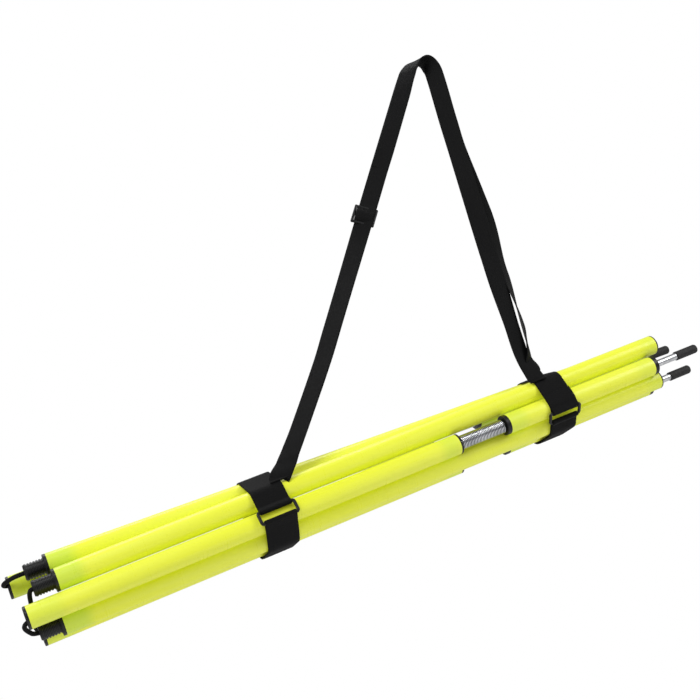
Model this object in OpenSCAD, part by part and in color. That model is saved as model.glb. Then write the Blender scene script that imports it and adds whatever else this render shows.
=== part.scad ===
// Three sprung weave poles, folded and strapped into a carry harness.
// Each pole is two tube sections on one elastic cord. The lower section has a spring and a
// ground spike. Two webbing wraps hold the folded poles and a shoulder strap joins the wraps.
// X runs along the poles towards the spikes, Y runs to the back of the bundle, Z is up.

/* [Tubes] */
// Outer diameter of the tubes
tube_od = 25; // [24:0.1:25]
// Wall of the tubes
tube_wall = 2; // [1.5:0.1:2.5]
// Length of a lower section, from its collar to its spike holder
lower_length = 830; // [800:1:900]
// Length of an upper section, from its plug flange to its cap
upper_length = 809; // [780:1:870]
// Gap between a part that sits in a tube and the tube
seat_gap = 0.05; // [0.05:0.01:0.15]

/* [Connector] */
// Length of the socket in the collar, and of the collar's skirt
socket_length = 35; // [30:1:45]
// Diameter of the socket in the collar
socket_bore = 18.2; // [18:0.1:18.6]
// Width of the collar's flange
collar_flange = 3; // [2:0.5:6]
// Length of the plug that enters the socket
plug_length = 22; // [18:1:28]
// Clearance between the plug's ribs and the socket, all round
plug_gap = 0.15; // [0.1:0.05:0.3]
// Number of ribs on the plug
plug_ribs = 6; // [4:1:7]
// Depth of the grooves between the ribs
rib_depth = 0.8; // [0.4:0.1:1.2]
// Width of the plug's flange
plug_flange = 3.5; // [3:0.5:5]
// Length of the stem that holds the plug in its tube
plug_stem = 28; // [20:1:40]

/* [Spring] */
// Distance from the collar to the spring
spring_start = 526; // [500:1:540]
// Visible length of the spring
spring_length = 65; // [50:1:80]
// Outer diameter of the spring
spring_od = 18; // [17:0.1:18.4]
// Wire of the spring
spring_wire = 2.1; // [1.8:0.1:2.4]
// Width of the ferrule above the spring
top_ferrule = 2.5; // [2:0.5:6]
// Width of the ferrule below the spring
foot_ferrule = 5.5; // [4:0.5:10]
// Depth of the ferrules' noses in the spring
nose_length = 12; // [8:1:18]
// Length of the ferrules' stems in the tubes
ferrule_stem = 24; // [20:1:32]

/* [Spike] */
// Diameter of the steel spike
spike_d = 9; // [7:0.5:10]
// Bare length of the spike between its holder and its cap
spike_bare = 37; // [30:1:45]
// Depth of the spike in its holder
spike_depth = 28; // [20:1:30]
// Width of the spike holder's flange
holder_flange = 6.5; // [4:0.5:10]
// Length of the spike holder's stem in the short tube
holder_stem = 26; // [22:1:34]
// Length of the spike's cap
spike_cap_length = 34.5; // [30:0.5:45]
// Wall of the spike's cap
spike_cap_wall = 1.3; // [0.9:0.1:1.6]
// Running clearance between the spike and its cap, all round
spike_cap_gap = 0.06; // [0.03:0.01:0.09]

/* [Upper cap] */
// Width of the cap's flange
cap_flange = 2.2; // [1.6:0.1:5]
// Length of the cap's stem
cap_stem = 22; // [18:1:30]

/* [Shock cord] */
// Diameter of the elastic cord
cord_d = 5; // [4:0.5:5.5]
// Diameter of the knots that hold the cord's ends
knot_d = 10.4; // [9:0.2:11]
// Clearance of the cord in the holes it runs through, all round
cord_gap = 0.6; // [0.4:0.1:1]

/* [Wraps] */
// Width of the wraps' webbing
wrap_w = 40; // [30:1:45]
// Thickness of one layer of the wraps' webbing
wrap_t = 1.6; // [1.2:0.1:2]
// Gap between the wraps and the tubes
wrap_gap = 0.4; // [0.3:0.05:0.6]
// Distance from the first pole's collar to the middle of the left wrap
left_wrap_x = 283.5; // [270:0.5:300]
// Distance from the first pole's collar to the middle of the right wrap
right_wrap_x = 673; // [660:1:690]
// Height of the wraps' rings, along the wrap
ring_h = 17.5; // [16:0.5:20]
// Thickness of a ring's rods
ring_rod = 3.2; // [2.8:0.1:3.6]
// Side clearance of the webbing in its ring
ring_side_gap = 0.6; // [0.4:0.1:1.2]

/* [Shoulder strap] */
// Width of the strap's webbing
strap_w = 25; // [20:1:30]
// Thickness of the strap's webbing
strap_t = 1.6; // [1.2:0.1:2]
// Diameter of the hem rolls that hinge the strap on the wraps
hem_d = 4; // [3.6:0.1:4.4]
// Thickness of the slider's bars
slider_t = 3; // [2.4:0.1:3.4]
// Length of the slider, along the strap
slider_length = 27; // [24:0.5:34]
// Width of the slider's side bars beside the strap
slider_side = 3.2; // [2.5:0.1:4]

/* [Hidden] */
POLES = ["a", "b", "c"];
POLE_PARTS = [
    "collar", "long_tube", "spring_top_ferrule", "spring", "spring_foot_ferrule", "short_tube",
    "spike_holder", "spike", "spike_cap", "upper_tube", "plug", "upper_cap", "shock_cord",
    "upper_cord_knot", "lower_cord_knot"];
SIDES = ["left", "right"];
WRAP_PARTS = ["wrap", "wrap_ring", "strap_patch"];

fine = 72;
plain = 48;
cord_sides = 10;
black = [0.06, 0.06, 0.065];
steel = [0.74, 0.75, 0.77];
yellow = [0.90, 0.96, 0.16];
webbing = [0.09, 0.09, 0.095];

tube_r = tube_od / 2;
tube_bore_r = tube_r - tube_wall;
stem_r = tube_bore_r - seat_gap;
cord_r = cord_d / 2;
cord_hole_r = cord_r + cord_gap;
knot_gap = 0.3;
knot_room_wall = 0.9;
spring_r = spring_od / 2;
nose_r = spring_r - spring_wire - seat_gap;
// A knot has to fit inside the nose that the spring sits on.
knot_r = min(knot_d / 2, nose_r - knot_room_wall - knot_gap);
knot_length = 9;
knot_room_r = knot_r + knot_gap;
plug_r = socket_bore / 2 - plug_gap;
spike_r = spike_d / 2;

// Places along a lower section, from the collar's open end.
spring_end = spring_start + spring_length;
long_tube_end = spring_start - top_ferrule;
short_tube_start = spring_end + foot_ferrule;
short_tube_end = lower_length - holder_flange;
spike_cap_start = lower_length + spike_bare;
spike_cap_end = spike_cap_start + spike_cap_length;
spike_cap_floor = 8;
spike_point = 12;
spike_end = spike_cap_end - spike_cap_floor;
lower_knot_x = long_tube_end - ferrule_stem + 12;

// Places along an upper section, from the open face of its plug's flange.
upper_tube_end = upper_length - cap_flange;
cap_stem_start = upper_tube_end - cap_stem;
upper_knot_x = cap_stem_start + 8;

// Where the poles lie across the bundle, from the first lower tube, for tubes of nominal_od.
// Each pole lies straight along X, except the third, which slopes down towards the spikes by
// pole_turn.
nominal_od = 25;
spread = tube_od / nominal_od;
function spaced(v) = [v[0], v[1] * spread, v[2] * spread];
lower_at = [spaced([0, 0, 0]), spaced([11, 46.8, -16.4]), spaced([-5, 54.5, 44.6])];
pole_turn = [[0, 0, 0], [0, 0, 0], [0, 1.5, 0.13]];
upper_from_lower = [spaced([30.5, 20.4, -16.4]), spaced([27.5, -41, 42.9]),
    spaced([41.5, -25.2, 5.3])];
// How far out of its seat each spike's cap has been pulled.
cap_out = [0, 0, 8];

// The cord's free loop, as [distance from the collar, share of the way to the upper tube].
loop_points = [
    [[8, 0.2], [2, 0.21], [-2, 0.3], [-3.6, 0.44], [-2.5, 0.6], [0, 0.78], [3, 0.92]],
    [[10, 0.085], [2, 0.1], [-3, 0.17], [-3.5, 0.28], [-1.5, 0.48], [-0.5, 0.72], [0.8, 0.91],
     [3.4, 0.993]],
    [[10, 0.2], [2, 0.22], [-2, 0.32], [-3.6, 0.46], [-1.5, 0.66], [4, 0.84], [10, 0.95]]];
loop_steps = 3;
// The loop's first points leave the collar's mouth, so they don't spread with the tubes, and
// they lie further out for a thicker cord.
nominal_cord = 5;
mouth_share = 0.33;
mouth_spare = 0.6;
function loop_at(q, span) = q[1] > mouth_share ? [q[0], q[1] * span]
    : [q[0] < 0 ? q[0] * pow(cord_d / nominal_cord, 2) : q[0],
       q[0] < 0 ? q[1] * span / spread
                : min(q[1] * span / spread, socket_bore / 2 - cord_r - mouth_spare)];

// Centres of the six tubes, as [y, z] in the first lower tube's frame, at distance x.
function third_pole_at(x) =
    [lower_at[2][1], lower_at[2][2]]
    + (x - lower_at[2][0]) * [tan(pole_turn[2][2]), -tan(pole_turn[2][1])];
function upper_offset(p) = [upper_from_lower[p][1], upper_from_lower[p][2]];
function tubes_at(x) = [
    [0, 0], upper_offset(0),
    [lower_at[1][1], lower_at[1][2]], [lower_at[1][1], lower_at[1][2]] + upper_offset(1),
    third_pole_at(x), third_pole_at(x) + upper_offset(2)];

// The wraps. Each ring faces ring_face degrees above the front, and lies ring_down further
// down the wrap. The tails end under the bundle.
wrap_x = [left_wrap_x, right_wrap_x];
hull_r = tube_r + wrap_gap;
ring_face = [12.5, -51.2];
ring_down = [1, 4];
tail_end_y = 44 * spread;
ring_reach = hull_r + wrap_t + ring_rod / 2 + 0.3;
rod_gap = 0.3;
rod_at = ring_h / 2 - ring_rod / 2;
rod_room_r = ring_rod / 2 + rod_gap;
fold_r = rod_room_r + wrap_t;
slot_half = rod_at - fold_r;

// The row's origin: under the middle of the bundle, on the surface that it rests on.
base_z = lower_at[1][2] - hull_r - 2 * wrap_t;
x_low = lower_at[2][0] + loop_points[2][3][0] - cord_r;
x_high = lower_at[1][0] + spike_cap_end;
y_low = -ring_reach * cos(ring_face[0]) - (rod_at + ring_down[0]) * sin(ring_face[0]) - fold_r;
y_high = third_pole_at(right_wrap_x + wrap_w / 2)[0] + hull_r + wrap_t;
row_origin = [(x_low + x_high) / 2, (y_low + y_high) / 2, base_z];

module in_row() { translate(-row_origin) children(); }
module on_lower(p) { in_row() translate(lower_at[p]) rotate(pole_turn[p]) children(); }
module on_upper(p) { on_lower(p) translate(upper_from_lower[p]) children(); }

// A tube or a stepped ring along X: [start, end, outer radius, inner radius].
module pipe(start, end, r, bore) {
    translate([start, 0, 0]) rotate([0, 90, 0]) difference() {
        cylinder(h = end - start, r = r, $fn = fine);
        translate([0, 0, -1]) cylinder(h = end - start + 2, r = bore, $fn = fine);
    }
}
// A solid turned round X from a profile of [distance along X, radius] points.
module turned(profile) {
    rotate([0, 90, 0]) rotate_extrude($fn = fine)
        polygon([for (q = profile) [q[1], q[0]]]);
}

// ---- Lower section ----

module collar(p) {
    mouth = 1;
    r = socket_bore / 2;
    color(black) on_lower(p) turned([
        [0, r + mouth], [0, tube_r - 0.6], [0.6, tube_r], [collar_flange, tube_r],
        [collar_flange, stem_r], [collar_flange + socket_length, stem_r],
        [collar_flange + socket_length, r], [mouth, r]]);
}
module long_tube(p) {
    color(yellow) on_lower(p) pipe(collar_flange, long_tube_end, tube_r, tube_bore_r);
}
module spring_top_ferrule(p) {
    stem = long_tube_end - ferrule_stem;
    color(black) on_lower(p) turned([
        [stem, cord_hole_r], [stem, stem_r], [long_tube_end, stem_r], [long_tube_end, tube_r],
        [spring_start, tube_r], [spring_start, nose_r], [spring_start + nose_length, nose_r],
        [spring_start + nose_length, knot_room_r], [lower_knot_x, knot_room_r],
        [lower_knot_x, cord_hole_r]]);
}
module spring(p) {
    coils = floor(spring_length / spring_wire);
    pitch = spring_length / coils;
    root = spring_r - spring_wire / 2;
    bore = spring_r - spring_wire;
    color(steel) on_lower(p) turned(concat(
        [[spring_start, bore]],
        [for (i = [0 : coils - 1]) for (q = [[0, root], [0.25, spring_r - 0.28],
            [0.5, spring_r], [0.75, spring_r - 0.28]]) [spring_start + (i + q[0]) * pitch, q[1]]],
        [[spring_end, root], [spring_end, bore]]));
}
module spring_foot_ferrule(p) {
    bore = 4;
    color(black) on_lower(p) turned([
        [spring_end - nose_length, bore], [spring_end - nose_length, nose_r],
        [spring_end, nose_r], [spring_end, tube_r - 0.5], [spring_end + 0.5, tube_r],
        [short_tube_start, tube_r], [short_tube_start, stem_r],
        [short_tube_start + ferrule_stem, stem_r], [short_tube_start + ferrule_stem, bore]]);
}
module short_tube(p) {
    color(yellow) on_lower(p) pipe(short_tube_start, short_tube_end, tube_r, tube_bore_r);
}
module spike_holder(p) {
    stem = short_tube_end - holder_stem;
    hole = lower_length - spike_depth;
    color(black) on_lower(p) turned([
        [stem, 0], [stem, stem_r], [short_tube_end, stem_r], [short_tube_end, tube_r],
        [lower_length - 0.8, tube_r], [lower_length, tube_r - 0.8], [lower_length, spike_r],
        [hole, spike_r], [hole, 0]]);
}
module spike(p) {
    start = lower_length - spike_depth;
    color(steel) on_lower(p) turned([
        [start, 0], [start, spike_r], [spike_end - spike_point, spike_r],
        [spike_end, 0.8], [spike_end, 0]]);
}
module spike_cap(p) {
    bore = spike_r + spike_cap_gap;
    outer = bore + spike_cap_wall;
    inner = spike_end + 0.4;
    color(black) on_lower(p) translate([cap_out[p], 0, 0]) turned([
        [spike_cap_start, bore], [spike_cap_start, outer - 0.4], [spike_cap_start + 0.4, outer],
        [spike_cap_end - 2, outer], [spike_cap_end - 0.6, outer - 0.6],
        [spike_cap_end, outer - 2], [spike_cap_end, 0], [inner, 0], [inner, 1],
        [spike_end - spike_point, bore]]);
}

// ---- Upper section ----

module upper_tube(p) {
    color(yellow) on_upper(p) pipe(plug_flange, upper_tube_end, tube_r, tube_bore_r);
}
module plug(p) {
    lead = 2;
    pitch = (plug_length - lead - 1) / plug_ribs;
    color(black) on_upper(p) turned(concat(
        [[-plug_length, cord_hole_r], [-plug_length, plug_r - 1], [lead - plug_length, plug_r]],
        [for (i = [0 : plug_ribs - 1]) for (q = [[0.45, 0], [0.5, 1], [0.95, 1], [1, 0]])
            [lead - plug_length + (i + q[0]) * pitch, plug_r - q[1] * rib_depth]],
        [[0, plug_r], [0, tube_r - 0.4], [0.4, tube_r], [plug_flange, tube_r],
         [plug_flange, stem_r], [plug_flange + plug_stem, stem_r],
         [plug_flange + plug_stem, cord_hole_r]]));
}
module upper_cap(p) {
    color(black) on_upper(p) turned([
        [cap_stem_start, cord_hole_r], [cap_stem_start, stem_r], [upper_tube_end, stem_r],
        [upper_tube_end, tube_r], [upper_length - 0.6, tube_r], [upper_length, tube_r - 0.6],
        [upper_length, 0], [upper_tube_end, 0], [upper_tube_end, knot_room_r],
        [upper_knot_x, knot_room_r], [upper_knot_x, cord_hole_r]]);
}

// ---- Shock cord ----

module knot_solid(x) {
    turned([
        [x, 0], [x, knot_r - 1.5], [x + 1.5, knot_r], [x + knot_length - 1.5, knot_r],
        [x + knot_length, knot_r - 1.5], [x + knot_length, 0]]);
}
module upper_cord_knot(p) { color(black) on_upper(p) knot_solid(upper_knot_x); }
module lower_cord_knot(p) { color(black) on_lower(p) knot_solid(lower_knot_x); }

// A point on a smooth curve through four points, between the second and the third.
function smooth(a, b, c, d, t) =
    0.5 * (2 * b + (c - a) * t + (2 * a - 5 * b + 4 * c - d) * t * t
        + (3 * b - a - 3 * c + d) * t * t * t);
function curve(points, steps) = concat(
    [for (i = [0 : len(points) - 2]) for (s = [0 : steps - 1])
        let (a = points[max(i - 1, 0)], d = points[min(i + 2, len(points) - 1)])
        smooth(a, points[i], points[i + 1], d, s / steps)],
    [points[len(points) - 1]]);
function unit(v) = v / norm(v);
function tangent(path, i) =
    unit(path[min(i + 1, len(path) - 1)] - path[max(i - 1, 0)]);

// A closed skin over equal rings of points, from the first ring to the last. The two halves of
// each ring split their faces on the same diagonals, so that a twisted strip keeps its thickness.
module skin(rings) {
    sides = len(rings[0]);
    last = len(rings) - 1;
    polyhedron(
        points = [for (ring = rings) for (q = ring) q],
        faces = concat(
            [[for (j = [0 : sides - 1]) j]],
            [[for (j = [sides - 1 : -1 : 0]) last * sides + j]],
            [for (i = [0 : last - 1]) for (j = [0 : sides - 1])
                let (k = (j + 1) % sides, a = i * sides + j, b = a + sides,
                     c = i * sides + k, d = c + sides)
                each j < sides / 2 ? [[a, b, c], [b, d, c]] : [[a, b, d], [a, d, c]]]),
        convexity = 6);
}

// The loop lies in the plane of the pole's two axes. Its points are [along, across] there.
module shock_cord(p) {
    across = [0, upper_from_lower[p][1], upper_from_lower[p][2]];
    span = norm(across);
    side = unit(cross([1, 0, 0], across));
    offset_in_tube = 5;
    upper_x = upper_from_lower[p][0];
    socket_end = collar_flange + socket_length;
    flat = concat(
        [[lower_knot_x, 0], [lower_knot_x - 40, 0], [lower_knot_x - 90, offset_in_tube],
         [socket_end + 40, offset_in_tube], [socket_end, offset_in_tube]],
        curve(concat([[socket_end - 10, offset_in_tube]],
                     [for (q = loop_points[p]) loop_at(q, span)],
                     [[upper_x - plug_length + 2, span], [upper_x - plug_length + 10, span]]),
              loop_steps),
        [[upper_x + 40, span], [upper_x + upper_knot_x, span]]);
    path = [for (q = flat) [q[0], 0, 0] + unit(across) * q[1]];
    color(black) on_lower(p) skin([
        for (i = [0 : len(path) - 1]) let (t = tangent(path, i), out = cross(side, t))
            [for (j = [0 : cord_sides - 1]) let (turn = 360 * j / cord_sides)
                path[i] + cord_r * (cos(turn) * out + sin(turn) * side)]]);
}

// ---- Wraps ----

// The taut outline round the tubes at wrap s, grown by extra.
module bundle_outline(s, extra) {
    hull() for (end = [-wrap_w / 2, wrap_w / 2]) for (q = tubes_at(wrap_x[s] + end))
        translate(q) circle(r = hull_r + extra, $fn = plain);
}
// Extrudes an outline drawn across the bundle over a width along X, centred on x.
module across_bundle(x, width) {
    in_row() translate([x - width / 2, 0, 0])
        rotate([90, 0, 90]) linear_extrude(height = width) children();
}
// The middle of ring s, with the first axis outwards and the second down the wrap.
module at_ring(s) {
    translate(ring_reach * [-cos(ring_face[s]), sin(ring_face[s])])
        rotate(180 - ring_face[s]) translate([0, ring_down[s]]) children();
}
// Where the second layer of webbing leaves a fold: on the flat of the wrap, or round the tube.
second_layer = hull_r + 1.5 * wrap_t;
fold_turn = 52;
function flat_end(s, way) = [second_layer - ring_reach, way * (rod_at + 11)];
function round_end(s, way) =
    second_layer * [cos(fold_turn), way * sin(fold_turn)] - [ring_reach, ring_down[s]];
fold_ends = [[flat_end(0, -1), round_end(0, 1)], [round_end(1, -1), flat_end(1, 1)]];
module fold(s, way) {
    at_ring(s) hull() {
        translate([0, way * rod_at]) circle(r = fold_r, $fn = 32);
        translate(fold_ends[s][way > 0 ? 1 : 0]) circle(r = wrap_t / 2, $fn = 32);
    }
}
// The part of the outline that the tail covers, from the ring to under the bundle.
module tail_region(s) {
    reach = 90;
    intersection() {
        at_ring(s) translate([-reach, rod_at]) square([2 * reach, reach]);
        translate([-reach, -reach]) square([reach + tail_end_y, 1.2 * reach]);
    }
}
module wrap(s) {
    color(webbing) across_bundle(wrap_x[s], wrap_w) difference() {
        union() {
            bundle_outline(s, wrap_t);
            intersection() {
                bundle_outline(s, 2 * wrap_t);
                tail_region(s);
            }
            fold(s, -1);
            fold(s, 1);
        }
        bundle_outline(s, 0);
        at_ring(s) {
            square([4 * fold_r, 2 * slot_half], center = true);
            for (way = [-1, 1]) translate([0, way * rod_at]) circle(r = rod_room_r, $fn = 32);
        }
    }
}
module wrap_ring(s) {
    side_x = wrap_w / 2 + ring_side_gap + ring_rod / 2;
    color(black) in_row() translate([wrap_x[s], 0, 0])
        translate(ring_reach * [0, -cos(ring_face[s]), sin(ring_face[s])])
        rotate([180 - ring_face[s], 0, 0]) translate([0, 0, ring_down[s]]) union() {
            for (way = [-1, 1]) {
                translate([-side_x, 0, way * rod_at]) rotate([0, 90, 0])
                    cylinder(h = 2 * side_x, d = ring_rod, $fn = plain);
                translate([way * side_x, 0, -rod_at])
                    cylinder(h = 2 * rod_at, d = ring_rod, $fn = plain);
                for (end = [-1, 1]) translate([way * side_x, 0, end * rod_at])
                    sphere(d = ring_rod, $fn = plain);
            }
        }
}

// ---- Shoulder strap ----

// The hinge line of the strap lies over the upper front tube, by the angle hem_face.
hem_face = 60;
hem_gap = 0.3;
hem_r = hem_d / 2;
hem_tube = [lower_at[1][1], lower_at[1][2]] + upper_offset(1);
hem_reach = hull_r + 2 * wrap_t + hem_gap + hem_r;
hem_yz = hem_tube + hem_reach * [-cos(hem_face), sin(hem_face)];
hem_x = [left_wrap_x + 6.5, right_wrap_x - 13];
hem_at = [for (x = hem_x) [x, hem_yz[0], hem_yz[1]]];
// The strap's middle line, as [x, y, z] from its own hem, and the way its width points at each
// point, in degrees round from +X to -Y. The left part runs up to the top of the strap and the
// right part runs down from there.
arm_turn = 30;
left_line = [
    [21, 0.4, 7.6, 14], [36, 0.6, 21.6, 26], [58, 1.4, 44.6, arm_turn],
    [121, 3.4, 112.6, arm_turn], [362, 12.9, 399.6, arm_turn], [414, 14.9, 461.6, arm_turn],
    [426, 15.4, 472.6, arm_turn], [439, 15.8, 479.1, arm_turn]];
right_line = [
    [80, 15.6, 476.6, arm_turn], [85, 15, 465.6, arm_turn], [84, 14.4, 451.6, arm_turn],
    [68, 12.1, 378.6, arm_turn], [58, 10.4, 330.6, arm_turn], [21, 4.8, 150.6, arm_turn],
    [7, 2.2, 67.6, 26], [2, 1, 32.6, 18], [0, 0.2, 11.6, 8]];
longest_step = 40;
most_turn = 4;
width_rise = -0.3;

module strap_patch(s) {
    reach = 60;
    low = 18;
    high = 86;
    color(webbing) across_bundle(hem_x[s], strap_w) difference() {
        intersection() {
            bundle_outline(s, 2 * wrap_t);
            translate(hem_tube) polygon([[0, 0],
                [-reach * cos(low), reach * sin(low)], [-reach, reach],
                [-reach * cos(high), reach * sin(high)]]);
        }
        bundle_outline(s, wrap_t);
    }
}
function width_way(turn) =
    unit([cos(turn), -sin(turn), width_rise * sin(turn)]);
function from_hem(i, line) = [for (q = line) concat(hem_at[i] + [q[0], q[1], q[2]], q[3])];
// The same line with points added, so that none are further apart than longest_step, or
// turned by more than most_turn.
function filled(line) = concat(
    [for (i = [0 : len(line) - 2]) let (a = line[i], b = line[i + 1],
            n = ceil(max(norm(b - a) / longest_step, abs(b[3] - a[3]) / most_turn)))
        for (k = [0 : n - 1]) a + (b - a) * k / n],
    [line[len(line) - 1]]);
module shoulder_strap() {
    lift = 1;
    line = filled(concat(
        from_hem(0, [[0, 0, lift, 0]]), from_hem(0, left_line),
        from_hem(1, right_line), from_hem(1, [[0, 0, lift, 0]])));
    path = [for (q = line) [q[0], q[1], q[2]]];
    color(webbing) in_row() union() {
        skin([for (i = [0 : len(path) - 1])
            let (way = width_way(line[i][3]), out = unit(cross(tangent(path, i), way)),
                 a = way * strap_w / 2, b = out * strap_t / 2)
            [path[i] + a + b, path[i] - a + b, path[i] - a - b, path[i] + a - b]]);
        for (e = hem_at) translate([e[0] - strap_w / 2, e[1], e[2]]) rotate([0, 90, 0])
            cylinder(h = strap_w, r = hem_r, $fn = 32);
    }
}
// The slider's frame goes round the straight left arm, with its middle bar behind the strap.
arm_low = hem_at[0] + [121, 3.4, 112.6];
arm_high = hem_at[0] + [362, 12.9, 399.6];
slider_share = 0.57;
slide_way = unit(arm_high - arm_low);
slider_at = arm_low + slider_share * (arm_high - arm_low);
module strap_slider() {
    way = width_way(arm_turn);
    out = unit(cross(slide_way, way));
    wide = unit(cross(out, slide_way));
    half = strap_w / 2 + 1.2;
    bar = 4;
    gap = 0.5;
    layer = strap_t / 2 + gap;
    m = [[wide[0], out[0], slide_way[0], slider_at[0]],
         [wide[1], out[1], slide_way[1], slider_at[1]],
         [wide[2], out[2], slide_way[2], slider_at[2]], [0, 0, 0, 1]];
    color(black) in_row() multmatrix(m) union() {
        for (side = [0, 1]) mirror([side, 0, 0])
            translate([half, -layer - slider_t, -slider_length / 2])
                cube([slider_side, 2 * (layer + slider_t), slider_length]);
        for (end = [-1, 1]) translate([-half - 1, layer, end * (slider_length - bar) / 2 - bar / 2])
            cube([2 * half + 2, slider_t, bar]);
        translate([-half - 1, -layer - slider_t, -bar / 2]) cube([2 * half + 2, slider_t, bar]);
    }
}

module wanted(name) { children(); }
for (p = [0 : 2]) {
    pole = str("pole_", POLES[p], "_");
    wanted(str(pole, "collar")) collar(p);
    wanted(str(pole, "long_tube")) long_tube(p);
    wanted(str(pole, "spring_top_ferrule")) spring_top_ferrule(p);
    wanted(str(pole, "spring")) spring(p);
    wanted(str(pole, "spring_foot_ferrule")) spring_foot_ferrule(p);
    wanted(str(pole, "short_tube")) short_tube(p);
    wanted(str(pole, "spike_holder")) spike_holder(p);
    wanted(str(pole, "spike")) spike(p);
    wanted(str(pole, "spike_cap")) spike_cap(p);
    wanted(str(pole, "upper_tube")) upper_tube(p);
    wanted(str(pole, "plug")) plug(p);
    wanted(str(pole, "upper_cap")) upper_cap(p);
    wanted(str(pole, "shock_cord")) shock_cord(p);
    wanted(str(pole, "upper_cord_knot")) upper_cord_knot(p);
    wanted(str(pole, "lower_cord_knot")) lower_cord_knot(p);
}
for (s = [0, 1]) {
    wanted(str(SIDES[s], "_wrap")) wrap(s);
    wanted(str(SIDES[s], "_wrap_ring")) wrap_ring(s);
    wanted(str(SIDES[s], "_strap_patch")) strap_patch(s);
}
wanted("shoulder_strap") shoulder_strap();
wanted("strap_slider") strap_slider();
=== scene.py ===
import math

import bpy
from mathutils import Matrix, Vector


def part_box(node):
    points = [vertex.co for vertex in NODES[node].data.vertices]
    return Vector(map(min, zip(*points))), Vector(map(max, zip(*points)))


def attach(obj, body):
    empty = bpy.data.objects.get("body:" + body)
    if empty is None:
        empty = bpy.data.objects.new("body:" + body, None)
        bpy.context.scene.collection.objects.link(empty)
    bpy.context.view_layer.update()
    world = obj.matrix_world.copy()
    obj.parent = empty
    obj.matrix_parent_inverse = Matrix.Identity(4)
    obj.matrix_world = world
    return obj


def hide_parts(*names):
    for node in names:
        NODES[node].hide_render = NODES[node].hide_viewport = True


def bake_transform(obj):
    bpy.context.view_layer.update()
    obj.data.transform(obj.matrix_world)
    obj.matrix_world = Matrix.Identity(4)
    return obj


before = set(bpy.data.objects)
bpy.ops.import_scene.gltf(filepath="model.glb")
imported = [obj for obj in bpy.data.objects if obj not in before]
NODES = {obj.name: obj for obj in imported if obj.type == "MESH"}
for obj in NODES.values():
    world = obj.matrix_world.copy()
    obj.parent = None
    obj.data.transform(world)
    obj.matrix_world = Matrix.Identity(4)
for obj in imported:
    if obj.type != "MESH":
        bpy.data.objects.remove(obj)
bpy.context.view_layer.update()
MM = 0.001


# ---- Places, from the frame ----

def centre(node):
    low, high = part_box(node)
    return (low + high) / 2


COLLAR_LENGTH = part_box("pole_a_collar")[1].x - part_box("pole_a_collar")[0].x
ORIGIN = centre("pole_a_collar") - Vector((COLLAR_LENGTH / 2, 0, 0))


def at(x, y, z):
    """A point given in mm from the first lower tube's open end, in metres in the frame."""
    return ORIGIN + Vector((x, y, z)) * MM


POLES = ("a", "b", "c")
SPRING_START = 526.0
SPRING_LENGTH = 65.0
SPRING_R = 9.0
SPRING_WIRE = 2.1
PLUG_LENGTH = 22.0
PLUG_MIDDLE = 4.75
HULL_R = 12.9
WRAP_T = 1.6
WRAP_W = 40.0
WRAP_X = {"left": 283.5, "right": 673.0}


class Axis:
    """A line along a section of a pole, measured in mm from the section's open end."""

    def __init__(self, first, first_at, last):
        start = centre(first)
        self.way = (centre(last) - start).normalized()
        self.start = start - self.way * first_at * MM

    def point(self, x, off=Vector((0, 0, 0))):
        return self.start + self.way * (x * MM) + off * MM


def lower_axis(pole):
    return Axis(f"pole_{pole}_collar", COLLAR_LENGTH / MM / 2, f"pole_{pole}_spike_cap")


def upper_axis(pole):
    return Axis(f"pole_{pole}_plug", PLUG_MIDDLE, f"pole_{pole}_upper_cap")


# ---- Camera ----

FOCAL_PX = 1065.3
PICTURE_PX = 700.0
SENSOR_MM = 36.0
CAMERA_AT = (-27.0, -1157.8, -155.4)
CAMERA_RIGHT = (0.87723, -0.25149, -0.40892)
CAMERA_UP = (0.30653, -0.36212, 0.88029)


def make_camera():
    data = bpy.data.cameras.new("camera")
    data.sensor_width = SENSOR_MM
    data.lens = SENSOR_MM * FOCAL_PX / PICTURE_PX
    data.clip_start = 0.05
    data.clip_end = 50.0
    camera = bpy.data.objects.new("camera", data)
    bpy.context.scene.collection.objects.link(camera)
    right = Vector(CAMERA_RIGHT)
    up = Vector(CAMERA_UP)
    back = right.cross(up).normalized()
    up = back.cross(right)
    turn = Matrix((right, up, back)).transposed().to_4x4()
    camera.matrix_world = Matrix.Translation(at(*CAMERA_AT)) @ turn
    bpy.context.scene.camera = camera


# ---- Materials ----

def new_material(name, color, rough, **sockets):
    material = bpy.data.materials.new(name)
    material.use_nodes = True
    shader = material.node_tree.nodes["Principled BSDF"]
    shader.inputs["Base Color"].default_value = (*color, 1.0)
    shader.inputs["Roughness"].default_value = rough
    for key, value in sockets.items():
        shader.inputs[key.replace("_", " ")].default_value = value
    return material, material.node_tree, shader


def add(tree, kind, links=None, **settings):
    """Adds a node. settings are its properties; links maps an input to a socket or value."""
    made = tree.nodes.new(kind)
    for key, value in settings.items():
        setattr(made, key, value)
    for key, value in (links or {}).items():
        if isinstance(value, bpy.types.NodeSocket):
            tree.links.new(value, made.inputs[key])
        else:
            made.inputs[key].default_value = value
    return made


def math_node(tree, operation, a, b=0.0):
    return add(tree, "ShaderNodeMath", {0: a, 1: b}, operation=operation).outputs[0]


def noise(tree, where, scale, detail=4.0, rough=0.55):
    return add(tree, "ShaderNodeTexNoise",
               {"Vector": where, "Scale": scale, "Detail": detail,
                "Roughness": rough}).outputs["Fac"]


def ramp(tree, fac, stops):
    made = add(tree, "ShaderNodeValToRGB", {"Fac": fac})
    elements = made.color_ramp.elements
    while len(elements) < len(stops):
        elements.new(0.5)
    for element, (place, color) in zip(elements, stops):
        element.position = place
        element.color = (*color, 1.0) if len(color) == 3 else color
    return made.outputs["Color"]


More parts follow.
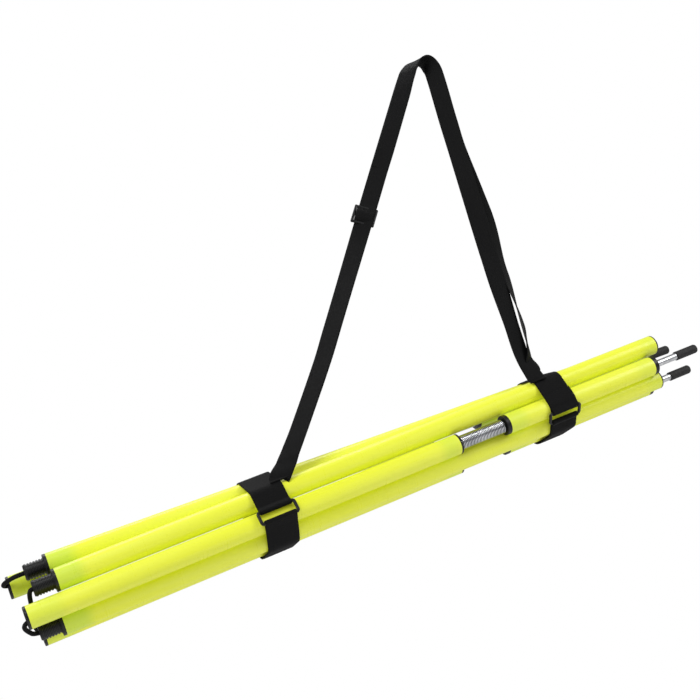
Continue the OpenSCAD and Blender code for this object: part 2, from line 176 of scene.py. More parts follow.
def bump(tree, shader, height, distance, strength=1.0):
    made = add(tree, "ShaderNodeBump",
               {"Height": height, "Distance": distance, "Strength": strength})
    tree.links.new(made.outputs["Normal"], shader.inputs["Normal"])
    return made


def object_place(tree):
    return add(tree, "ShaderNodeTexCoord").outputs["Object"]


def stretched(tree, where, scale):
    return add(tree, "ShaderNodeMapping", {"Vector": where, "Scale": scale}).outputs["Vector"]


YELLOW = (0.865, 0.915, 0.035)
GREEN = (0.62, 0.80, 0.07)
# A deeper green for the inserts of the tube that lies behind the others: painted shade.
SHADED_GREEN = (0.36, 0.58, 0.022)
PALE = (0.88, 0.93, 0.10)


def tube_plastic(name, inserts, green=GREEN):
    """Fluorescent plastic, whose colour also shines as a faint painted glow. inserts are (start,
    end, strength) along X where a dark part inside the slightly clear tube turns it greener; a
    deeper green given for a tube behind the others is painted shade."""
    material, tree, shader = new_material(name, YELLOW, 0.33, Specular_IOR_Level=0.45)
    where = object_place(tree)
    x = add(tree, "ShaderNodeSeparateXYZ", {"Vector": where}).outputs["X"]
    soft = 0.009
    mask = None
    for start, end, strength in inserts:
        rise = add(tree, "ShaderNodeMapRange",
                   {"Value": x, "From Min": start - soft, "From Max": start + soft},
                   interpolation_type="SMOOTHSTEP").outputs[0]
        fall = add(tree, "ShaderNodeMapRange",
                   {"Value": x, "From Min": end - soft, "From Max": end + soft},
                   interpolation_type="SMOOTHSTEP").outputs[0]
        one = math_node(tree, "MULTIPLY", math_node(tree, "SUBTRACT", rise, fall), strength)
        mask = one if mask is None else math_node(tree, "MAXIMUM", mask, one)
    clouds = noise(tree, stretched(tree, where, (3.0, 60.0, 60.0)), 1.0, 3.0)
    tint = ramp(tree, clouds, [(0.3, YELLOW), (0.75, PALE)])
    mix = add(tree, "ShaderNodeMix", {"Factor": mask, "A": tint, "B": (*green, 1.0)},
              data_type="RGBA")
    # The plain scuffs of use: fine lines along the tube, and a few round it.
    fine = noise(tree, stretched(tree, where, (40.0, 900.0, 900.0)), 1.0, 2.0)
    rings = noise(tree, stretched(tree, where, (500.0, 25.0, 25.0)), 1.0, 2.0)
    scuff = math_node(tree, "MULTIPLY", fine, rings)
    dull = ramp(tree, scuff, [(0.32, (1.0, 1.0, 1.0)), (0.46, (0.86, 0.88, 0.82))])
    worn = add(tree, "ShaderNodeMix", {"Factor": 0.5, "A": mix.outputs["Result"], "B": dull},
               data_type="RGBA", blend_type="MULTIPLY")
    tree.links.new(worn.outputs["Result"], shader.inputs["Base Color"])
    # The colour also feeds the emission: a painted glow, which lifts the tube's shaded sides.
    tree.links.new(worn.outputs["Result"], shader.inputs["Emission Color"])
    shader.inputs["Emission Strength"].default_value = 0.08
    rough = add(tree, "ShaderNodeMapRange", {"Value": scuff, "From Min": 0.15, "From Max": 0.45,
                                            "To Min": 0.27, "To Max": 0.46}).outputs[0]
    tree.links.new(rough, shader.inputs["Roughness"])
    waves = noise(tree, stretched(tree, where, (25.0, 120.0, 120.0)), 1.0, 3.0)
    bump(tree, shader, waves, 0.0002, 0.6)
    return material


def moulded_plastic(name, color, rough=0.42, grain=0.00003):
    material, tree, shader = new_material(name, color, rough, Specular_IOR_Level=0.4)
    where = object_place(tree)
    clouds = noise(tree, where, 90.0, 3.0)
    tint = ramp(tree, clouds, [(0.3, color), (0.8, tuple(c * 1.7 for c in color))])
    tree.links.new(tint, shader.inputs["Base Color"])
    varied = add(tree, "ShaderNodeMapRange", {"Value": clouds, "To Min": rough - 0.08,
                                             "To Max": rough + 0.14}).outputs[0]
    tree.links.new(varied, shader.inputs["Roughness"])
    bump(tree, shader, noise(tree, where, 1800.0, 2.0), grain)
    return material


def chrome_wire():
    material, tree, shader = new_material("spring_chrome", (0.80, 0.81, 0.83), 0.2, Metallic=1.0)
    where = object_place(tree)
    clouds = noise(tree, where, 60.0, 2.0)
    tint = ramp(tree, clouds, [(0.3, (0.60, 0.61, 0.64)), (0.7, (0.80, 0.81, 0.84))])
    # The wire's sides that face the next coils are painted near black, a painted shade between the
    # coils.
    uv = add(tree, "ShaderNodeUVMap", uv_map="metres").outputs["UV"]
    across = add(tree, "ShaderNodeSeparateXYZ", {"Vector": uv}).outputs["X"]
    coil_gap_shade = add(tree, "ShaderNodeMapRange",
                 {"Value": math_node(tree, "ABSOLUTE", across), "From Min": 0.00045,
                  "From Max": 0.0008}).outputs[0]
    mix = add(tree, "ShaderNodeMix",
              {"Factor": coil_gap_shade, "A": tint, "B": (0.03, 0.03, 0.035, 1.0)}, data_type="RGBA")
    tree.links.new(mix.outputs["Result"], shader.inputs["Base Color"])
    varied = add(tree, "ShaderNodeMapRange", {"Value": clouds, "To Min": 0.12,
                                             "To Max": 0.22}).outputs[0]
    tree.links.new(varied, shader.inputs["Roughness"])
    bump(tree, shader, noise(tree, where, 2500.0, 2.0), 0.00001)
    return material


def turned_steel():
    """Plated steel, with the fine rings that a lathe leaves round it."""
    material, tree, shader = new_material("spike_steel", (0.74, 0.75, 0.76), 0.3, Metallic=1.0)
    where = object_place(tree)
    lathe = noise(tree, stretched(tree, where, (2600.0, 30.0, 30.0)), 1.0, 2.0)
    stain = noise(tree, where, 140.0, 4.0)
    tint = ramp(tree, stain, [(0.35, (0.46, 0.47, 0.49)), (0.65, (0.76, 0.77, 0.79))])
    tree.links.new(tint, shader.inputs["Base Color"])
    varied = add(tree, "ShaderNodeMapRange", {"Value": stain, "To Min": 0.2,
                                             "To Max": 0.42}).outputs[0]
    tree.links.new(varied, shader.inputs["Roughness"])
    bump(tree, shader, lathe, 0.00004, 0.7)
    return material


def rubber():
    material, tree, shader = new_material("cap_rubber", (0.014, 0.014, 0.015), 0.62,
                                          Specular_IOR_Level=0.4)
    where = object_place(tree)
    dust = noise(tree, where, 320.0, 5.0)
    tint = ramp(tree, dust, [(0.45, (0.012, 0.012, 0.013)), (0.75, (0.035, 0.034, 0.032))])
    tree.links.new(tint, shader.inputs["Base Color"])
    bump(tree, shader, noise(tree, where, 1400.0, 3.0), 0.00005)
    return material


def woven(name, color, across, along, thread_depth, sheen=0.06):
    """Plain-woven webbing or a braid. across and along are the threads' pitches, in metres,
    on the surface's own UV, which is in metres too."""
    material, tree, shader = new_material(name, color, 0.66, Specular_IOR_Level=0.13,
                                          Sheen_Weight=sheen, Sheen_Roughness=0.45)
    uv = add(tree, "ShaderNodeUVMap", uv_map="metres").outputs["UV"]
    part = add(tree, "ShaderNodeSeparateXYZ", {"Vector": uv})
    u = math_node(tree, "MULTIPLY", part.outputs["X"], math.pi / across)
    v = math_node(tree, "MULTIPLY", part.outputs["Y"], math.pi / along)
    over = math_node(tree, "MULTIPLY", math_node(tree, "SINE", u), math_node(tree, "SINE", v))
    height = math_node(tree, "ABSOLUTE", over)
    where = object_place(tree)
    fuzz = noise(tree, where, 900.0, 3.0)
    full = math_node(tree, "ADD", height, math_node(tree, "MULTIPLY", fuzz, 0.5))
    bump(tree, shader, full, thread_depth)
    # The weave's colour follows its height: painted shade in the hollows between threads and a
    # painted highlight on their tops.
    thread_highlight = tuple(c * 2.6 for c in color)
    tint = ramp(tree, full, [(0.2, tuple(c * 0.35 for c in color)), (0.75, color), (1.0, thread_highlight)])
    clouds = noise(tree, where, 22.0, 3.0)
    faded = ramp(tree, clouds, [(0.3, (0.75, 0.75, 0.75)), (0.7, (1.0, 1.0, 1.0))])
    mix = add(tree, "ShaderNodeMix", {"Factor": 1.0, "A": tint, "B": faded},
              data_type="RGBA", blend_type="MULTIPLY")
    tree.links.new(mix.outputs["Result"], shader.inputs["Base Color"])
    return material


# ---- Meshes ----

def mesh_object(name, verts, faces, material, smooth=True, uvs=None):
    mesh = bpy.data.meshes.new(name)
    mesh.from_pydata(verts, [], faces)
    mesh.materials.append(material)
    mesh.polygons.foreach_set("use_smooth", [smooth] * len(mesh.polygons))
    if uvs:
        layer = mesh.uv_layers.new(name="metres")
        flat = []
        for loop in mesh.loops:
            flat.extend(uvs[loop.vertex_index])
        layer.data.foreach_set("uv", flat)
    mesh.update()
    made = bpy.data.objects.new(name, mesh)
    bpy.context.scene.collection.objects.link(made)
    return made


def ring_faces(rings, sides, closed=False):
    faces = []
    for i in range(rings if closed else rings - 1):
        a, b = i * sides, ((i + 1) % rings) * sides
        for j in range(sides):
            k = (j + 1) % sides
            faces.append((a + j, a + k, b + k, b + j))
    if not closed:
        faces.append(tuple(range(sides - 1, -1, -1)))
        faces.append(tuple((rings - 1) * sides + j for j in range(sides)))
    return faces


def tangents(path, closed=False):
    n = len(path)
    found = []
    for i in range(n):
        a = path[(i - 1) % n] if closed else path[max(i - 1, 0)]
        b = path[(i + 1) % n] if closed else path[min(i + 1, n - 1)]
        found.append((b - a).normalized())
    return found


def sweep(name, path, section, side, material, closed=False, uvs=False):
    """Sweeps section(i, j), a list of (across, out) pairs per ring, along path. side(i) is the
    section's first axis at ring i."""
    verts, places = [], []
    along = 0.0
    ways = tangents(path, closed)
    count = None
    for i, (point, way) in enumerate(zip(path, ways)):
        first = side(i)
        first = (first - way * first.dot(way)).normalized()
        second = way.cross(first)
        if i:
            along += (point - path[i - 1]).length
        ring = section(i, along)
        count = len(ring)
        for a, b in ring:
            verts.append(point + first * a + second * b)
            places.append((a, along))
    faces = ring_faces(len(path), count, closed)
    return mesh_object(name, verts, faces, material, uvs=places if uvs else None)


def smooth_path(points, step):
    """A Catmull-Rom curve through points, sampled about every step."""
    out = []
    n = len(points)
    for i in range(n - 1):
        a, b = points[max(i - 1, 0)], points[i]
        c, d = points[i + 1], points[min(i + 2, n - 1)]
        pieces = max(1, int((c - b).length / step + 0.5))
        for s in range(pieces):
            t = s / pieces
            out.append(0.5 * (2 * b + (c - a) * t + (2 * a - 5 * b + 4 * c - d) * t * t
                              + (3 * b - a - 3 * c + d) * t ** 3))
    out.append(points[-1].copy())
    return out


def even_path(points, step):
    """The same polyline with its points evenly spaced."""
    total = sum((b - a).length for a, b in zip(points, points[1:]))
    count = max(2, int(total / step + 0.5))
    gap = total / count
    out = [points[0].copy()]
    need, done = gap, 0.0
    for a, b in zip(points, points[1:]):
        length = (b - a).length
        while length > 0 and need <= done + length + 1e-12 and len(out) < count:
            out.append(a.lerp(b, (need - done) / length))
            need += gap
        done += length
    out.append(points[-1].copy())
    return out


def relaxed(points, passes):
    for _ in range(passes):
        points = ([points[0]] + [(a + b * 2 + c) / 4 for a, b, c in
                                 zip(points, points[1:], points[2:])] + [points[-1]])
    return points


RIB_PITCH = 0.0016
RIB_HEIGHT = 0.00011
WARP_RIBS = 9
SELVEDGE_POWER = 14


def webbing_section(width, thick, columns):
    """The closed outline of a strip of webbing: a flat band with round selvedges, whose faces
    rise and fall with the weft and with the warp's own ribs."""
    def section(i, along):
        phase = math.pi * along / RIB_PITCH
        ring = []
        for side in (1, -1):
            for j in range(columns):
                a = side * (1 - 2 * (j + 0.5) / columns)
                edge = max(0.0, 1 - abs(a) ** SELVEDGE_POWER) ** 0.5
                rib = math.sin(phase) * math.sin(math.pi * WARP_RIBS * (a + 1) / 2)
                ring.append((a * width / 2, side * (thick / 2 * edge + RIB_HEIGHT * rib)))
        return ring
    return section


def webbing(name, path, side, width, thick, material, columns=20):
    return sweep(name, path, webbing_section(width, thick, columns), side, material, uvs=True)


# ---- Springs ----

def make_spring(pole, material):
    axis = lower_axis(pole)
    turns = int(SPRING_LENGTH / SPRING_WIRE)
    steps = 36
    middle_r = (SPRING_R - SPRING_WIRE / 2) * MM
    up = Vector((0, 0, 1))
    first = (up - axis.way * up.dot(axis.way)).normalized()
    second = axis.way.cross(first)
    wire_r = SPRING_WIRE / 2 * 0.86 * MM
    start = SPRING_START + SPRING_WIRE / 2
    pitch = (SPRING_LENGTH - SPRING_WIRE) / turns
    path = []
    for i in range(turns * steps + 1):
        turn = 2 * math.pi * i / steps
        path.append(axis.point(start + pitch * i / steps)
                    + (first * math.cos(turn) + second * math.sin(turn)) * middle_r)
    sides = 10
    ring = [(wire_r * math.cos(2 * math.pi * j / sides), wire_r * math.sin(2 * math.pi * j / sides))
            for j in range(sides)]
    made = sweep(f"pole_{pole}_spring_coil", path, lambda i, s: ring,
                 lambda i: axis.way, material, uvs=True)
    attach(made, f"pole_{pole}")
    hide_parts(f"pole_{pole}_spring")


# ---- Shock cords ----

CORD_R = 2.5
LOWER_KNOT_X = 511.5
UPPER_KNOT_X = 792.8
SOCKET_END = 38.0
CORD_LOOPS = {
    "a": [(8, 0.2), (2, 0.21), (-2, 0.3), (-3.6, 0.44), (-2.5, 0.6), (0, 0.78), (3, 0.92)],
    "b": [(10, 0.085), (2, 0.1), (-3, 0.17), (-3.5, 0.28), (-1.5, 0.48), (-0.5, 0.72),
          (0.8, 0.91), (3.4, 0.993)],
    "c": [(10, 0.2), (2, 0.22), (-2, 0.32), (-3.6, 0.46), (-1.5, 0.66), (4, 0.84), (10, 0.95)]}


def make_cord(pole, material):
    low, high = lower_axis(pole), upper_axis(pole)
    shift = high.start - low.start
    upper_x = shift.dot(low.way) / MM
    across = shift - low.way * shift.dot(low.way)
    span = across.length / MM
    across.normalize()
    side = low.way.cross(across)
    in_tube = 5.0
    loop = ([(SOCKET_END - 10, in_tube)]
            + [(x, share * span) for x, share in CORD_LOOPS[pole]]
            + [(upper_x - PLUG_LENGTH + 2, span), (upper_x - PLUG_LENGTH + 10, span)])

    def placed(q):
        return low.point(q[0]) + across * q[1] * MM
    fine = 0.0005
    path = [placed(q) for q in ((LOWER_KNOT_X, 0), (LOWER_KNOT_X - 40, 0),
                                (LOWER_KNOT_X - 90, in_tube), (SOCKET_END + 40, in_tube),
                                (SOCKET_END, in_tube))]
    path += smooth_path([placed(q) for q in loop], fine)
    path += [placed((upper_x + 40, span)), placed((upper_x + UPPER_KNOT_X, span))]
    sides, strands, lay = 24, 8, 0.011

    def section(i, along):
        ring = []
        for j in range(sides):
            turn = 2 * math.pi * j / sides
            twist = 2 * math.pi * along / lay
            one = math.cos(strands * turn / 2 + twist * strands / 2)
            two = math.cos(strands * turn / 2 - twist * strands / 2)
            r = (CORD_R - 0.16 + 0.16 * max(abs(one), abs(two))) * MM
            ring.append((r * math.cos(turn), r * math.sin(turn)))
        return ring
    made = sweep(f"pole_{pole}_elastic_cord", path, section, lambda i: side, material, uvs=True)
    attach(made, f"pole_{pole}")
    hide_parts(f"pole_{pole}_shock_cord")


# ---- Wraps ----

RING_ROD = 3.2
RING_H = 17.5
ROD_AT = RING_H / 2 - RING_ROD / 2
RING_REACH = HULL_R + WRAP_T + RING_ROD / 2 + 0.3
RING_FACE = {"left": 12.5, "right": -51.2}
RING_DOWN = {"left": 1.0, "right": 4.0}
# Lengths of the sewn end over the ring's upper rod, and of the loose tail, in mm.
SEWN_END = {"left": 23.0, "right": 20.0}
TAIL_END = {"left": 104.0, "right": 92.0}
# How far along X the tail's tip lies out of square, over the last share of the webbing.
TAIL_SKEW = {"left": -3.0, "right": -4.5}
TAIL_SHARE = 0.2


def tube_centres(x):
    """Centres of the six tubes across the bundle at x mm, as 2-D vectors in mm."""
    out = []
    for pole in POLES:
        for axis in (lower_axis(pole), upper_axis(pole)):
            t = (at(x, 0, 0).x - axis.start.x) / axis.way.x
            p = (axis.start + axis.way * t - ORIGIN) / MM
            out.append(Vector((p.y, p.z)))
    return out


def hull_outline(centres, r):
    """The taut outline round circles of radius r, as evenly spaced points, anticlockwise."""
    dots = []
    steps = 180
    for c in centres:
        for k in range(steps):
            turn = 2 * math.pi * k / steps
            dots.append((c.x + r * math.cos(turn), c.y + r * math.sin(turn)))
    dots.sort()

    def half(points):
        out = []
        for p in points:
            while len(out) > 1 and ((out[-1][0] - out[-2][0]) * (p[1] - out[-2][1])
                                    - (out[-1][1] - out[-2][1]) * (p[0] - out[-2][0])) <= 0:
                out.pop()
            out.append(p)
        return out[:-1]
    ring = [Vector(p) for p in half(dots) + half(reversed(dots))]
    return even_path(ring + [ring[0]], 0.6)[:-1]


class RingPlace:
    """The place of a wrap's ring: local x is outwards and local y down the wrap, in mm."""

    def __init__(self, side):
        face = math.radians(RING_FACE[side])
        self.out = Vector((-math.cos(face), math.sin(face)))
        self.down = Vector((-math.sin(face), -math.cos(face)))
        self.middle = self.out * RING_REACH + self.down * RING_DOWN[side]

    def local(self, p):
        return Vector(((p - self.middle).dot(self.out), (p - self.middle).dot(self.down)))

    def world(self, x, y):
        return self.middle + self.out * x + self.down * y


def wrap_path(side):
    """The webbing's line across the bundle: the sewn end, round the ring's upper rod, once
    round the poles, round the lower rod and back down as the tail."""
    place = RingPlace(side)
    ends = [WRAP_X[side] - WRAP_W / 2, WRAP_X[side] + WRAP_W / 2]
    centres = [c for x in ends for c in tube_centres(x)]
    inner = hull_outline(centres, HULL_R + 0.5 * WRAP_T)
    outer = hull_outline(centres, HULL_R + 1.55 * WRAP_T)
    reach = ROD_AT + 5.0
    fold = RING_ROD / 2 + 0.3 + WRAP_T / 2

    def opened(points):
        """Starts below the ring and runs round the bundle to above it."""
        near = [i for i, p in enumerate(points)
                if abs(place.local(p).y) < reach and place.local(p).x > -14]
        inside = set(near)
        start = next(i for i in range(len(points))
                     if i in inside and (i + 1) % len(points) not in inside)
        line = [points[(start + 1 + k) % len(points)] for k in range(len(points) - len(near))]
        if place.local(line[0]).y < 0:
            line.reverse()
        return line

    def arc(rod, turns):
        return [place.world(fold * math.cos(a), rod + fold * math.sin(a)) for a in turns]
    around = opened(inner)
    over = opened(outer)
    step = 0.6
    sewn_part = over[-int(SEWN_END[side] / step):]
    tail_part = over[:int(TAIL_END[side] / step)]
    upper = arc(-ROD_AT, [math.radians(d) for d in range(-10, 191, 20)])
    lower = arc(ROD_AT, [math.radians(-d) for d in range(170, -11, -20)])
    line = list(sewn_part)
    if (line[0] - upper[0]).length < (line[-1] - upper[0]).length:
        line.reverse()
    path = line + upper + around[::-1] + lower + tail_part
    path = relaxed(even_path(path, step), 3)
    return even_path(path, 0.45)


def make_wrap(side, material):
    flat = wrap_path(side)
    x = WRAP_X[side]
    total = len(flat)
    points = []
    for i, p in enumerate(flat):
        near_end = max(0.0, (i - total * (1 - TAIL_SHARE)) / (total * TAIL_SHARE))
        points.append(at(x + TAIL_SKEW[side] * near_end, p.x, p.y))
    along_x = Vector((1, 0, 0))
    made = webbing(f"{side}_wrap_webbing", points, lambda i: along_x, WRAP_W * MM,
                   WRAP_T * MM, material, columns=30)
    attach(made, "harness")
    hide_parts(f"{side}_wrap")


def make_ring(side, material):
    place = RingPlace(side)
    half_w = WRAP_W / 2 + 0.6 + RING_ROD / 2
    corner = 2.4
    outline = []
    for cx, cy, start in ((1, 1, 0), (-1, 1, 90), (-1, -1, 180), (1, -1, 270)):
        for k in range(7):
            turn = math.radians(start + 90 * k / 6)
            outline.append((cx * (half_w - corner) + corner * math.cos(turn),
                            cy * (ROD_AT - corner) + corner * math.sin(turn)))
    points = []
    for px, py in outline:
        q = place.world(0, py)
        points.append(at(WRAP_X[side] + px, q.x, q.y))
    points = even_path(points + [points[0]], 0.0006)[:-1]
    normal = Vector((0, place.out.x, place.out.y))
    sides, half = 20, RING_ROD / 2 * MM

    def section(i, along):
        ring = []
        for j in range(sides):
            turn = 2 * math.pi * j / sides
            c, s = math.cos(turn), math.sin(turn)
            ring.append((half * math.copysign(abs(c) ** 0.6, c),
                         half * 1.12 * math.copysign(abs(s) ** 0.55, s)))
        return ring
    made = sweep(f"{side}_ring_moulding", points, section, lambda i: normal, material, closed=True)
    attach(made, "harness")
    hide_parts(f"{side}_wrap_ring")


# ---- Shoulder strap ----

STRAP_W = 25.0
STRAP_T = 1.6
WIDTH_RISE = -0.3
HEM_X = (290.0, 660.0)
HEM_FACE = math.radians(60.0)
HEM_TUBE = Vector((4.0, 26.5))
# Each line is (x, y, z, turn): mm from its own hem, and the width's turn from X in degrees.
LEFT_LINE = [(27, 0.6, 11, 24), (38, 0.9, 22.6, 34), (60, 1.6, 45.6, 38),
             (121, 3.4, 112.6, 37), (150, 4.5, 147.1, 34), (310, 10.9, 337.7, 14)]
LEFT_TOP = [(340, 12.1, 373.4, 14), (362, 12.9, 399.6, 15), (388, 13.9, 430.6, 16),
            (414, 14.9, 461.6, 26), (426, 15.4, 472.6, 40), (439, 15.8, 479.1, 54)]
RIGHT_TOP = [(80, 15.6, 476.6, 56), (85, 15, 465.6, 46), (84, 14.4, 451.6, 36),
             (68, 12.1, 378.6, 26), (58, 10.4, 330.6, 26)]
RIGHT_WIDE = [(39, 7.6, 240.6, 22), (20, 4.8, 150.6, 8), (4, 2.2, 67.6, -14),
              (-2, 1, 32.6, -14), (-1, 0.2, 11.6, -6)]
RIGHT_NARROW = [(50, 9.6, 240.6, 6), (38, 8.4, 150.6, -38), (25, 6.6, 67.6, -66),
                (13, 3.6, 32.6, -52), (5, 2.0, 11.6, -16)]
# The second layer lies this far under the first and to its side, in mm, after EASE_RINGS rings.
SECOND_OFF = 2.3
SECOND_SIDE = 1.1
EASE_RINGS = 30.0


def width_way(turn):
    turn = math.radians(turn)
    return Vector((math.cos(turn), -math.sin(turn), WIDTH_RISE * math.sin(turn))).normalized()


def hem_line(x, start, end, reach):
    """Points over the upper front tube between two angles above the front."""
    steps = 4
    out = []
    for k in range(steps + 1):
        face = math.radians(start + (end - start) * k / steps)
        y, z = HEM_TUBE.x - reach * math.cos(face), HEM_TUBE.y + reach * math.sin(face)
        out.append((x, y, z, 0))
    return out


def from_hem(side, line):
    reach = HULL_R + 2 * WRAP_T
    y = HEM_TUBE.x - reach * math.cos(HEM_FACE)
    z = HEM_TUBE.y + reach * math.sin(HEM_FACE)
    return [(HEM_X[side] + q[0], y + q[1], z + q[2], q[3]) for q in line]


def strap_path(line):
    """A smooth curve through a line's points, with the width's turn at each point of it."""
    spots = [at(*q[:3]) for q in line]
    path, angles = [], []
    n = len(line)
    for i in range(n - 1):
        pieces = max(1, int((spots[i + 1] - spots[i]).length / 0.0005))
        a, b, c, d = (spots[k] for k in (max(i - 1, 0), i, i + 1, min(i + 2, n - 1)))
        into = (c - a).normalized() if i else (c - b).normalized()
        out = (d - b).normalized() if i + 2 < n else (c - b).normalized()
        span = (c - b).length
        for s in range(pieces):
            t = s / pieces
            path.append(b * (2 * t ** 3 - 3 * t * t + 1) + into * span * (t ** 3 - 2 * t * t + t)
                        + c * (3 * t * t - 2 * t ** 3) + out * span * (t ** 3 - t * t))
            ease = t * t * (3 - 2 * t)
            angles.append(line[i][3] + (line[i + 1][3] - line[i][3]) * ease)
    return path[::2], angles[::2]


def hang(made):
    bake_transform(made)


def make_strap(material):
    reach = HULL_R + 1.5 * WRAP_T + 0.1
    first = hem_line(HEM_X[0] + 13, 41, 54, reach)
    final = hem_line(HEM_X[1], 52, 30, reach)
    line = (first + from_hem(0, LEFT_LINE + LEFT_TOP) + from_hem(1, RIGHT_TOP + RIGHT_WIDE)
            + final)
    path, angles = strap_path(line)
    outer = webbing("shoulder_strap_webbing", path, lambda i: width_way(angles[i]),
                    STRAP_W * MM, STRAP_T * MM, material)
    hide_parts("shoulder_strap", "left_strap_patch", "right_strap_patch")
    hang(outer)
    # The strap runs back from the slider as a second layer, under the first over the top and
    # beside it at the right wrap.
    under = (from_hem(0, LEFT_LINE[5:] + LEFT_TOP) + from_hem(1, RIGHT_TOP + RIGHT_NARROW))
    path, angles = strap_path(under)
    ways = tangents(path)
    moved = []
    for i, (point, way) in enumerate(zip(path, ways)):
        near = width_way(angles[i])
        off = way.cross((near - way * near.dot(way)).normalized())
        ease = min(1.0, i / EASE_RINGS)
        moved.append(point - off * (SECOND_OFF * ease * MM) + near * (SECOND_SIDE * MM * ease))
    inner = webbing("shoulder_strap_second_layer", moved, lambda i: width_way(angles[i]),
                    STRAP_W * MM, STRAP_T * MM, material)
    hang(inner)


# ---- Slider ----

def rounded_box(name, middle, axes, size, radius, material):
    """A bar with rounded edges: size along each of the three axes, in mm."""
    steps = 5
    verts = []
    half = [v / 2 - radius for v in size]
    rows = 4 * steps
    lines = 2 * steps
    for i in range(lines):
        tilt = -math.pi / 2 + math.pi * (i + 0.5) / lines
        lift = half[2] if tilt > 0 else -half[2]
        for j in range(rows):
            turn = 2 * math.pi * (j + 0.5) / rows
            a = math.cos(tilt) * math.cos(turn) * radius + math.copysign(half[0], math.cos(turn))
            b = math.cos(tilt) * math.sin(turn) * radius + math.copysign(half[1], math.sin(turn))
            c = math.sin(tilt) * radius + lift
            verts.append(middle + (axes[0] * a + axes[1] * b + axes[2] * c) * MM)
    return mesh_object(name, verts, ring_faces(lines, rows), material)


def make_slider(plastic, weave):
    middle = centre("strap_slider")
    low, high = from_hem(0, [(121, 3.4, 112.6, 0), (362, 12.9, 399.6, 0)])
    along = (Vector(high[:3]) - Vector(low[:3])).normalized()
    across = width_way(7)
    across = (across - along * across.dot(along)).normalized()
    out = across.cross(along).normalized()
    if out.y > 0:
        out = -out
    axes = (across, along, out)
    wide, tall, bar = 31.0, 27.0, 3.6
    pieces = []
    for k, b in enumerate((-1, 0, 1)):
        spot = middle + along * (b * (tall - bar) / 2 * MM)
        pieces.append(rounded_box(f"slider_bar_{k}", spot, axes,
                                  (wide - 1, bar, 3.0 if b else 2.4), 1.15, plastic))
    for k, a in enumerate((-1, 1)):
        spot = middle + across * (a * (wide - bar) / 2 * MM)
        pieces.append(rounded_box(f"slider_side_{k}", spot, axes, (bar, tall, 4.0), 1.6, plastic))
    for piece in pieces:
        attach(piece, "slider")
    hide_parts("strap_slider")
    fold = [(-11, -1.6), (-9, 0.8), (-6, 2.6), (-2, 3.8), (2, 3.9), (6, 2.7), (9, 0.9),
            (11, -1.6)]
    path = smooth_path([middle + (along * q[0] + out * q[1]) * MM for q in fold], 0.0004)
    made = webbing("slider_webbing_fold", path, lambda i: across, 24.4 * MM, 1.5 * MM, weave)
    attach(made, "slider")


# ---- Carried-over pieces ----

def give(node, material):
    thing = NODES[node]
    if not thing.data.materials:
        thing.data.materials.append(material)
    for slot in thing.material_slots:
        slot.material = material
    thing.data.polygons.foreach_set("use_smooth", [True] * len(thing.data.polygons))


def dress_poles(plastic, plug_plastic, steel, cap, cord):
    for pole in POLES:
        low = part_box(f"pole_{pole}_long_tube")
        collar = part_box(f"pole_{pole}_collar")
        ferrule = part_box(f"pole_{pole}_spring_top_ferrule")
        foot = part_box(f"pole_{pole}_spring_foot_ferrule")
        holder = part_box(f"pole_{pole}_spike_holder")
        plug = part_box(f"pole_{pole}_plug")
        cap_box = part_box(f"pole_{pole}_upper_cap")
        # Pole c's lower tube lies behind the others, so its inserts take a deeper green that is
        # painted shade.
        lower = tube_plastic(f"tube_lower_{pole}", [
            (collar[0].x, collar[1].x, 0.35), (ferrule[0].x, low[1].x, 0.5),
            (foot[0].x, foot[1].x, 0.5), (holder[0].x, holder[1].x, 0.25)],
            SHADED_GREEN if pole == "c" else GREEN)
        upper = tube_plastic(f"tube_upper_{pole}", [
            (plug[0].x, plug[1].x, 0.8), (cap_box[0].x, cap_box[1].x, 0.3)])
        give(f"pole_{pole}_long_tube", lower)
        give(f"pole_{pole}_short_tube", lower)
        give(f"pole_{pole}_upper_tube", upper)
        for part in ("collar", "spring_top_ferrule", "spring_foot_ferrule", "spike_holder",
                     "upper_cap"):
            give(f"pole_{pole}_{part}", plastic)
        give(f"pole_{pole}_plug", plug_plastic)
        give(f"pole_{pole}_spike", steel)
        give(f"pole_{pole}_spike_cap", cap)
        for part in ("upper_cord_knot", "lower_cord_knot"):
            give(f"pole_{pole}_{part}", cord)


# ---- Stage ----

LAMP_TARGET = (0, 0, 0.1)
# Each lamp's name, place in metres, size in metres, and power in watts.
LAMPS = (("key", (-1.1, -1.5, 1.7), (1.1, 0.8), 28),
         ("fill", (1.7, -1.5, 0.7), (0.8, 1.2), 15),
         ("top", (0.2, 0.5, 2.0), (1.4, 0.6), 13),
         ("back", (-0.6, 1.8, 0.9), (1.4, 1.0), 6))
# The world's light on the part, against 1 for what the camera sees.
WORLD_LIGHT = 0.38
FLOOR_GLOW = 0.5
FLOOR_DROP, FLOOR_RADIUS, FLOOR_SIDES = 0.75, 1.5, 96


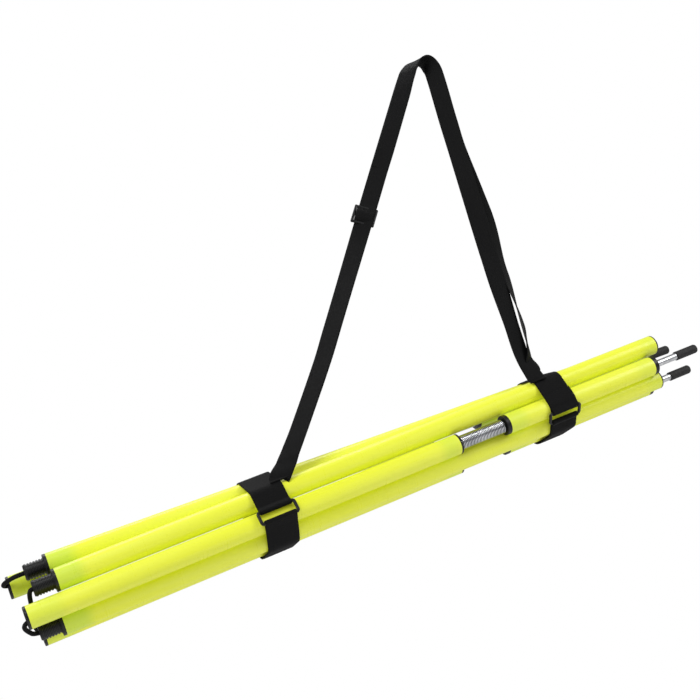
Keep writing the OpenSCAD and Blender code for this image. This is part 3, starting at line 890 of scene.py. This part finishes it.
def area_lamp(name, place, target, size, watts):
    data = bpy.data.lights.new(name, "AREA")
    data.shape = "RECTANGLE"
    data.size, data.size_y = size
    data.energy = watts
    lamp = bpy.data.objects.new(name, data)
    lamp.location = place
    lamp.rotation_euler = (Vector(target) - Vector(place)).to_track_quat("-Z", "Y").to_euler()
    bpy.context.scene.collection.objects.link(lamp)


def make_stage():
    world = bpy.data.worlds.new("studio")
    bpy.context.scene.world = world
    world.use_nodes = True
    tree = world.node_tree
    background = tree.nodes["Background"]
    background.inputs["Color"].default_value = (1, 1, 1, 1)
    seen = add(tree, "ShaderNodeLightPath").outputs["Is Camera Ray"]
    strength = add(tree, "ShaderNodeMapRange",
                   {"Value": seen, "To Min": WORLD_LIGHT, "To Max": 1.0}).outputs[0]
    tree.links.new(strength, background.inputs["Strength"])

    material, tree, shader = new_material("floor_white", (0.9, 0.9, 0.9), 0.9)
    shader.inputs["Emission Color"].default_value = (1, 1, 1, 1)
    seen = add(tree, "ShaderNodeLightPath").outputs["Is Camera Ray"]
    glow = math_node(tree, "MULTIPLY", seen, FLOOR_GLOW)
    tree.links.new(glow, shader.inputs["Emission Strength"])
    turns = [2 * math.pi * k / FLOOR_SIDES for k in range(FLOOR_SIDES)]
    verts = [(FLOOR_RADIUS * math.cos(turn), FLOOR_RADIUS * math.sin(turn), -FLOOR_DROP)
             for turn in turns]
    floor = mesh_object("floor", verts, [tuple(range(FLOOR_SIDES))], material, smooth=False)

    for name, place, size, watts in LAMPS:
        area_lamp(name, place, LAMP_TARGET, size, watts)


make_camera()
black = moulded_plastic("black_plastic", (0.004, 0.004, 0.0045), 0.3)
plug_black = moulded_plastic("plug_plastic", (0.0045, 0.0045, 0.005), 0.34)
chrome = chrome_wire()
braid = woven("cord_elastic", (0.007, 0.007, 0.0075), 0.0011, 0.0013, 0.0001)
strap_weave = woven("webbing_black", (0.003, 0.003, 0.0032), 0.0014, 0.0008, 0.00012, 0.01)
for pole in POLES:
    make_cord(pole, braid)
    make_spring(pole, chrome)
for side in ("left", "right"):
    make_wrap(side, strap_weave)
    make_ring(side, black)
make_strap(strap_weave)
make_slider(black, strap_weave)
dress_poles(black, plug_black, turned_steel(), rubber(), braid)
make_stage()
bpy.context.scene.view_settings.view_transform = "Standard"
